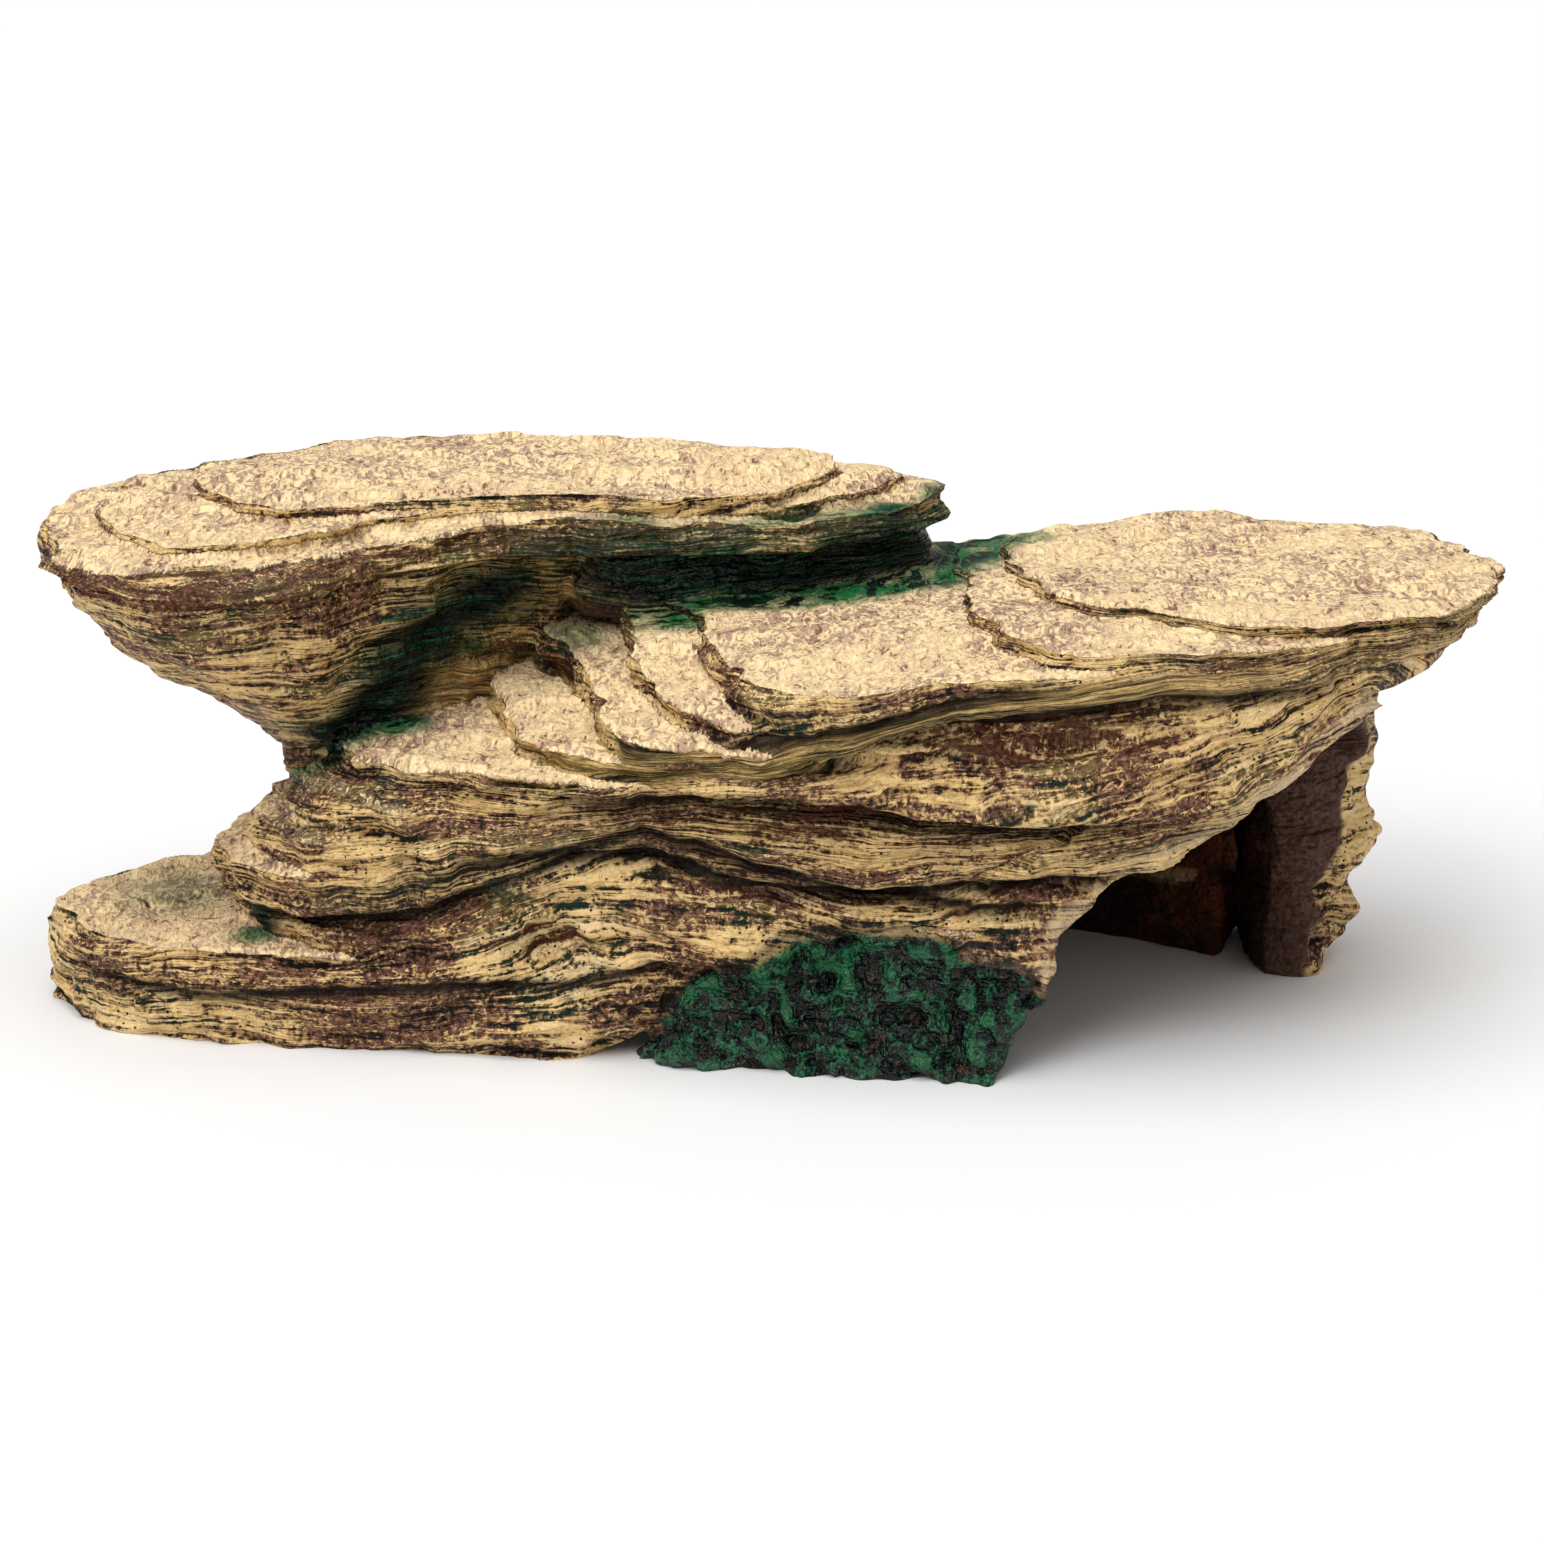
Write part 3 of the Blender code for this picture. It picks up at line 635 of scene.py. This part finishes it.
class RockPaint(Paint):
    """Dark grooves, a plum base coat, ochre dry-brushed over whatever stands proud, and painted shade in the
    hollows and inside the cave.
    """

    def __init__(self, name, roughness, shine):
        super().__init__(name)
        axes = self.node("ShaderNodeSeparateXYZ", Vector=self.node("ShaderNodeTexCoord").outputs["Object"])
        x, y, z = (self.math("MULTIPLY", axes.outputs[a], M) for a in "XYZ")
        for label in masks:
            setattr(self, label, self.value(label))
        self.make_noises((x, y, z), (x, y, self.bed))
        flatness = self.span(self.total(self.top, self.scaled(self.dent, 1.3, -0.65)), 0.35, 0.60)
        colour = self.mix(flatness, self.side_colour(), self.top_colour())
        colour = self.with_greens(colour)
        # Painted shade inside the cave: near black, with red-brown patches painted in as a glow of light.
        colour = self.mix(self.inner, colour, self.mix(self.span(self.wash, 0.45, 0.64), CAVE_SHADE, RED_SHADE_AND_GLOW))
        self.put(self.shader.inputs["Base Color"], colour)
        self.put(self.shader.inputs["Normal"], self.bumps(flatness))
        gloss = self.math("MULTIPLY_ADD", self.math("MAXIMUM", self.moss, self.dark), -0.34, roughness)
        self.put(self.shader.inputs["Roughness"], gloss)
        self.put(self.shader.inputs["Specular IOR Level"], shine)

    def make_noises(self, space, layers):
        """Noise in space (x, y, z) and in the rock's layers (x, y, bedding)."""
        mm = self.vector(*space)
        self.streak = self.noise(self.stretched(layers, 0.030, 0.030, 0.80), 1.0, 5.0, 0.70)
        self.thread = self.noise(self.stretched(layers, 0.12, 0.12, 2.4), 1.0, 3.0, 0.65)
        self.fibre = self.noise(self.stretched(layers, 0.05, 0.05, 1.15), 1.0, 4.0, 0.75)
        # Bumps hold no detail finer than the picture can show: finer slopes only darken.
        self.ridges = self.noise(self.stretched(layers, 0.09, 0.09, 1.05), 1.0, 1.0, 0.5)
        self.lumps = self.noise(mm, 0.45, 1.5, 0.5)
        self.fronds = self.noise(mm, 0.55, 2.0, 0.60)
        self.flecks = self.noise(self.stretched(layers, 0.55, 0.55, 1.0), 1.0, 2.0, 0.6, 1.2)
        self.worms = self.noise(self.stretched(space, 0.60, 0.26, 0.3), 1.0, 1.0, 0.5, 1.3)
        self.dent = self.noise(self.stretched(space, 0.50, 0.24, 0.4), 1.0, 4.0, 0.70, 1.4)
        self.speck = self.noise(mm, 0.85, 3.0, 0.65)
        self.patch = self.noise(self.stretched(layers, 0.035, 0.035, 0.10), 1.0, 2.0, 0.5)
        self.tint = self.noise(self.stretched(layers, 0.02, 0.02, 0.05), 1.7, 3.0, 0.6)
        self.wash = self.noise(mm, 0.06, 3.0, 0.55)
        self.clump = self.noise(mm, 0.22, 4.0, 0.6)
        self.leaf = self.noise(mm, 1.10, 5.0, 0.80)
        pits = self.node("ShaderNodeTexVoronoi", Vector=mm, Scale=0.5).outputs["Distance"]
        pitted = self.span(self.total(self.patch, self.scaled(self.tint, 0.5)), 0.78, 0.84)
        self.hole = self.product(self.span(pits, 0.20, 0.10), pitted)

    def side_colour(self):
        """Steep faces."""
        scaled, total, span, mix, product = self.scaled, self.total, self.span, self.mix, self.product
        streak, speck, tint, patch = self.streak, self.speck, self.tint, self.patch
        proud = total(
            scaled(streak, 0.75), scaled(self.thread, 0.70), scaled(speck, 0.50), scaled(self.ridges, 0.60),
            scaled(self.lumps, 0.35), scaled(self.relief, 0.05), scaled(self.groove, -0.08),
        )
        mossy = span(tint, 0.50, 0.58)
        base = mix(span(speck, 0.38, 0.62), PLUM_DARK, PLUM)
        base = mix(product(mossy, span(streak, 0.42, 0.58)), base, OLIVE)
        bright = total(streak, scaled(tint, 0.5), scaled(self.thread, 0.5))
        brushed = mix(span(bright, 0.86, 1.02), OCHRE, SAND)
        brushed = mix(span(bright, 1.08, 1.20), brushed, CREAM)
        # The swells take more ochre, partly as painted light; the calm patches take less.
        threshold = total(
            proud, scaled(patch, 0.90, -0.47), scaled(self.swell, 0.08), scaled(self.calm, -0.12)
        )
        gilt = self.math("MAXIMUM", span(threshold, 1.35, 1.55), span(self.flecks, 0.56, 0.62))
        side = mix(gilt, base, brushed)
        grooved = product(span(proud, 1.40, 1.24), scaled(self.calm, -0.7, 1.0))
        side = mix(grooved, side, mix(mossy, BLACK, GREEN_DEEP))
        # Painted shade: the hollows, the recesses under the creases and the bevel turn brown and red-brown
        # where the ochre hasn't reached.
        hollow = total(product(span(self.swell, -0.15, -0.7), 0.7), self.recess)
        unbrushed = span(total(streak, scaled(speck, 0.4)), 0.80, 0.62)
        hollow = self.math("MULTIPLY", hollow, unbrushed, clamp=True)
        side = mix(product(hollow, 0.85), side, mix(span(self.wash, 0.42, 0.58), BROWN, RED_SHADE_AND_GLOW))
        side = mix(self.hole, side, BLACK)
        strands = self.ramp(
            self.fibre, (0.36, BLACK), (0.42, OLIVE_DARK), (0.47, OLIVE), (0.53, OCHRE), (0.62, SAND)
        )
        side = mix(product(self.ribbon, span(patch, 0.30, 0.42)), side, strands)
        side = mix(product(self.lip, span(streak, 0.44, 0.56)), side, PALE_LIP)
        side = mix(product(self.groove, 0.95), side, BLACK)
        return mix(self.plum, side, mix(span(speck, 0.4, 0.62), PLUM_DARK, PILLAR_PLUM))

    def top_colour(self):
        """Flat tops."""
        scaled, span, mix = self.scaled, self.span, self.mix
        low = self.total(
            scaled(self.dent, 0.45), scaled(self.worms, 0.60, -0.025), scaled(self.relief, 0.08),
            scaled(self.wash, -0.30, 0.15), scaled(self.speck, 0.3, -0.15),
        )
        flat = mix(span(low, 0.43, 0.51), mix(span(self.tint, 0.4, 0.6), MAUVE, PALE), CREAM)
        flat = mix(span(low, 0.53, 0.60), flat, PALEST)
        flat = mix(span(low, 0.37, 0.31), flat, PLUM)
        return mix(span(self.crack, 0.25, 0.8), flat, PLUM_DARK)

    def with_greens(self, colour):
        """Wet green along the crevice, then the moss."""
        scaled, total, span, mix, product = self.scaled, self.total, self.span, self.mix, self.product
        washed = product(self.green, span(total(self.wash, scaled(self.speck, 0.5)), 0.42, 0.80))
        colour = mix(product(washed, scaled(self.top, 0.7, 0.3)), colour, WASH)
        wet = self.ramp(
            total(scaled(self.fibre, 0.7), scaled(self.speck, 0.3)),
            (0.47, GREEN_BLACK), (0.54, GREEN_DEEP), (0.59, GREEN), (0.65, WASH),
        )
        soaked = product(self.green, span(self.thread, 0.56, 0.46))
        colour = mix(self.math("MAXIMUM", self.dark, soaked), colour, wet)
        height = total(
            scaled(self.clump, 0.65), scaled(self.leaf, 0.55), scaled(self.fronds, 0.4),
            scaled(self.relief, 0.07),
        )
        leaf = self.ramp(
            span(height, 0.62, 0.98), (0.36, GREEN_BLACK), (0.52, GREEN_DEEP), (0.68, GREEN), (0.88, EMERALD)
        )
        earth = product(span(self.clump, 0.44, 0.34), span(self.speck, 0.45, 0.60))
        return mix(self.moss, colour, mix(earth, leaf, PLUM_DARK))

    def bumps(self, flatness):
        """The surface's finest relief, flat on the tops and carved on the steep faces."""
        scaled, total = self.scaled, self.total
        carved = total(
            scaled(self.ridges, 1.2), scaled(self.lumps, 1.0), scaled(self.flecks, 0.5),
            scaled(self.hole, -0.3),
        )
        height = self.tree.nodes.new("ShaderNodeMix")
        self.put(height.inputs[0], flatness)
        self.put(height.inputs[2], total(carved, self.product(self.moss, scaled(self.fronds, 1.2))))
        self.put(height.inputs[3], total(scaled(self.worms, 0.65), scaled(self.lumps, 0.25)))
        bump = self.node("ShaderNodeBump", Strength=1.0, Distance=BUMP, Height=height.outputs[0])
        return bump.outputs["Normal"]


paints = {
    "ochre_paint": RockPaint("ochre_paint_coat", 0.60, 0.2),
    "plum_paint": RockPaint("plum_paint_coat", 0.60, 0.2),
    "moss_paint": RockPaint("moss_paint_coat", 0.54, 0.4),
}
slots = {part["node"]: part["material_slot"] for part in frame["record"]["subparts"]}
for name, piece in pieces:
    piece.data.materials.append(paints[slots[name]].material)
    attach(piece, "root")
    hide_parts(name)


# Floor, light and camera.

white = Paint("stage_white")
white.put(white.shader.inputs["Base Color"], (0.9, 0.9, 0.9, 1.0))
white.put(white.shader.inputs["Roughness"], 0.6)
mesh = bpy.data.meshes.new("floor")
mesh.from_pydata([(-6, -4, 0), (6, -4, 0), (6, 8, 0), (-6, 8, 0)], [], [(0, 1, 2, 3)])
floor = bpy.data.objects.new("floor", mesh)
bpy.context.scene.collection.objects.link(floor)
mesh.materials.append(white.material)


def sun(name, lean, turn, spread, strength):
    """Soft sunlight: lean from overhead and turn round Z, both in degrees."""
    light = bpy.data.lights.new(name, "SUN")
    light.energy = strength
    light.angle = math.radians(spread)
    obj = bpy.data.objects.new(name, light)
    obj.rotation_euler = (math.radians(lean), 0, math.radians(turn))
    bpy.context.scene.collection.objects.link(obj)


sun("overhead", 12, -25, 60, 1.90)
sun("front", 48, -30, 30, 0.95)

world = bpy.data.worlds.new("studio")
world.use_nodes = True
background = world.node_tree.nodes["Background"]
background.inputs["Color"].default_value = (1.0, 1.0, 1.0, 1.0)
background.inputs["Strength"].default_value = 0.42
bpy.context.scene.world = world
bpy.context.scene.view_settings.view_transform = "Standard"

ELEVATION = math.radians(15.5)
DISTANCE = 0.83
TARGET = (0.002, -0.0037, 0.052)
camera = bpy.data.objects.new("camera", bpy.data.cameras.new("camera"))
camera.data.lens = 85
camera.data.sensor_width = 36
camera.location = (
    TARGET[0], TARGET[1] - math.cos(ELEVATION) * DISTANCE, TARGET[2] + math.sin(ELEVATION) * DISTANCE
)
camera.rotation_euler = (math.radians(90) - ELEVATION, 0, 0)
bpy.context.scene.collection.objects.link(camera)
bpy.context.scene.camera = camera
